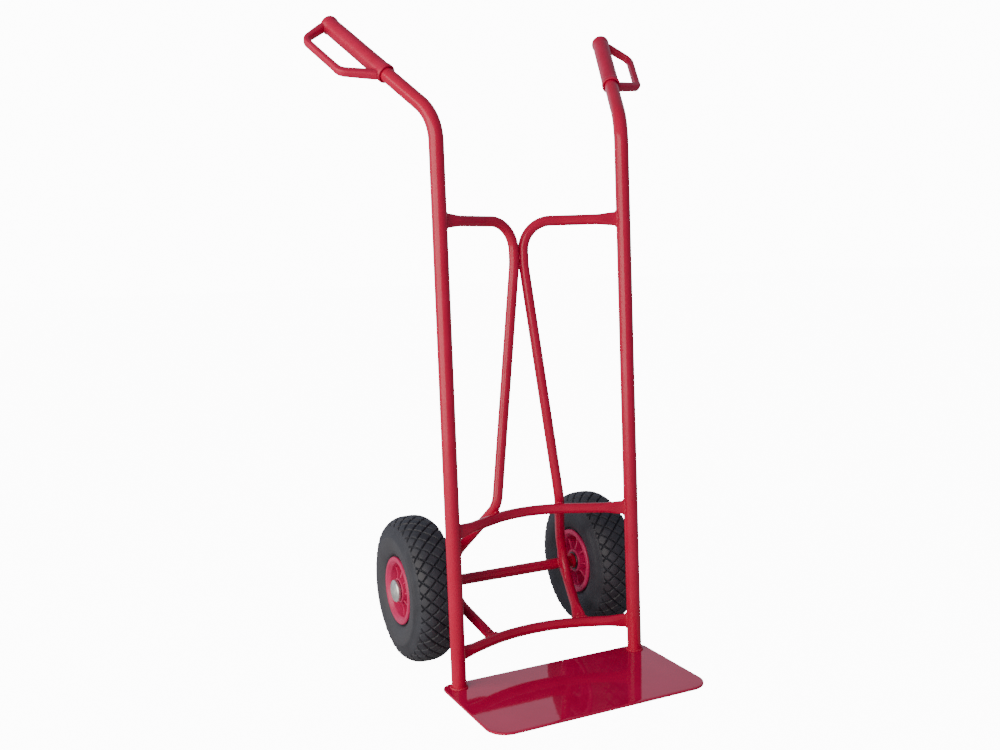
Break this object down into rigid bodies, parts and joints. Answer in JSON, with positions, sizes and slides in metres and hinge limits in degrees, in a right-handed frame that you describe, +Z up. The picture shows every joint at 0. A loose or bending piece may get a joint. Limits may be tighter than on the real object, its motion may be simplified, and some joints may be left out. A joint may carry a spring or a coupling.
{
  "type": "hand truck",
  "caption": "Tubular steel hand truck with a flat toe plate, pneumatic wheels on a fixed axle, curved back braces and splayed grips with knuckle guards.",
  "frame": {"origin": "on the floor, on the toe plate's underside, midway between the two side tubes", "axes": "+X to the operator's left along the axle, +Y back from the toe plate's lip towards the operator, +Z up"},
  "size_m": [0.6518, 0.495, 1.1371],
  "materials": {
    "red_paint": "gloss powder coat",
    "red_grip_plastic": "satin moulded plastic",
    "red_rim_plastic": "moulded plastic, light gloss",
    "tyre_rubber": "matt rubber with block tread",
    "tube_rubber": "smooth butyl",
    "valve_brass": "machined",
    "zinc_plate": "bright zinc plate",
    "bright_steel": "drawn steel",
    "bearing_nylon": "natural nylon"
  },
  "bodies": {
    "frame": {"toe_plate": "red_paint", "left_side_tube": "red_paint", "right_side_tube": "red_paint", "upper_crossbar": "red_paint", "lower_crossbar": "red_paint", "left_brace": "red_paint", "right_brace": "red_paint", "left_grip": "red_grip_plastic", "right_grip": "red_grip_plastic", "axle": "red_paint", "left_axle_collar": "red_paint", "right_axle_collar": "red_paint", "left_inner_washer": "zinc_plate", "right_inner_washer": "zinc_plate", "left_outer_washer": "zinc_plate", "right_outer_washer": "zinc_plate", "left_axle_cap": "zinc_plate", "right_axle_cap": "zinc_plate"},
    "left_wheel": {"left_tyre": "tyre_rubber", "left_inner_tube": "tube_rubber", "left_valve_stem": "valve_brass", "left_outer_rim_half": "red_rim_plastic", "left_inner_rim_half": "red_rim_plastic", "left_hub_sleeve": "bright_steel", "left_outer_roller_bearing": "bearing_nylon", "left_inner_roller_bearing": "bearing_nylon", "left_rim_bolt_1": "zinc_plate", "left_rim_bolt_2": "zinc_plate", "left_rim_bolt_3": "zinc_plate", "left_rim_bolt_4": "zinc_plate", "left_rim_nut_1": "zinc_plate", "left_rim_nut_2": "zinc_plate", "left_rim_nut_3": "zinc_plate", "left_rim_nut_4": "zinc_plate"},
    "right_wheel": {"right_tyre": "tyre_rubber", "right_inner_tube": "tube_rubber", "right_valve_stem": "valve_brass", "right_outer_rim_half": "red_rim_plastic", "right_inner_rim_half": "red_rim_plastic", "right_hub_sleeve": "bright_steel", "right_outer_roller_bearing": "bearing_nylon", "right_inner_roller_bearing": "bearing_nylon", "right_rim_bolt_1": "zinc_plate", "right_rim_bolt_2": "zinc_plate", "right_rim_bolt_3": "zinc_plate", "right_rim_bolt_4": "zinc_plate", "right_rim_nut_1": "zinc_plate", "right_rim_nut_2": "zinc_plate", "right_rim_nut_3": "zinc_plate", "right_rim_nut_4": "zinc_plate"}
  },
  "joints": [
    {"name": "left_wheel_spin", "type": "hinge", "parent": "frame", "child": "left_wheel", "pos_m": [0.1795, 0.17, 0.13], "axis": [1, 0, 0], "continuous": true},
    {"name": "right_wheel_spin", "type": "hinge", "parent": "frame", "child": "right_wheel", "pos_m": [-0.1795, 0.17, 0.13], "axis": [1, 0, 0], "continuous": true}
  ]
}
